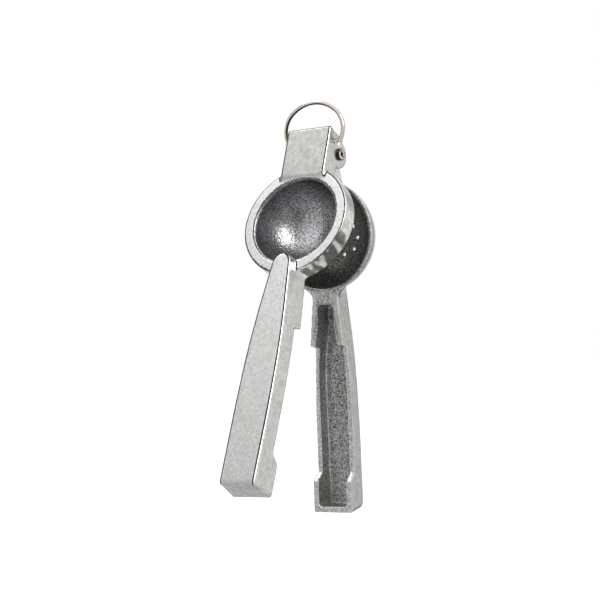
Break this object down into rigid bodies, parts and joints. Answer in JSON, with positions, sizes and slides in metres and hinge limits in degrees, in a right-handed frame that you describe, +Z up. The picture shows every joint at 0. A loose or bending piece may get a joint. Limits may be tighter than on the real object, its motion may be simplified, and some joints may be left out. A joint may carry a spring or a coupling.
{
  "type": "hand citrus squeezer",
  "caption": "Hinged cast-aluminium citrus squeezer: a hollow dome presses half a lime or lemon into a drained cup, and it hangs by a wire ring.",
  "frame": {"origin": "the point inside the top of the hanging ring where a hook touches it", "axes": "+Z up along the hung tool, from the handles to the ring; +X along the hinge screw, towards its head; -Y towards the press lever, which is in front"},
  "size_m": [0.066, 0.1258, 0.237],
  "materials": {
    "cast_aluminium": "sand cast, outer faces sanded to a satin",
    "cup_aluminium": "sand cast, outer faces sanded to a satin",
    "screw_steel": "nickel plated, polished",
    "ring_steel": "nickel plated, polished"
  },
  "bodies": {
    "cup_lever": {"cup_lever": "cup_aluminium"},
    "press_lever": {"press_lever": "cast_aluminium", "hinge_screw": "screw_steel", "hinge_nut": "screw_steel"},
    "hanging_ring": {"hanging_ring": "ring_steel"}
  },
  "joints": [
    {"name": "lever_hinge", "type": "hinge", "parent": "cup_lever", "child": "press_lever", "pos_m": [0, 0.00316, -0.02989], "axis": [-1, 0, 0], "range_deg": [-23.6, 76.4]},
    {"name": "ring_swing", "type": "hinge", "parent": "press_lever", "child": "hanging_ring", "pos_m": [0, 0, -0.0224], "axis": [1, 0, 0], "range_deg": [-58, 126]}
  ]
}
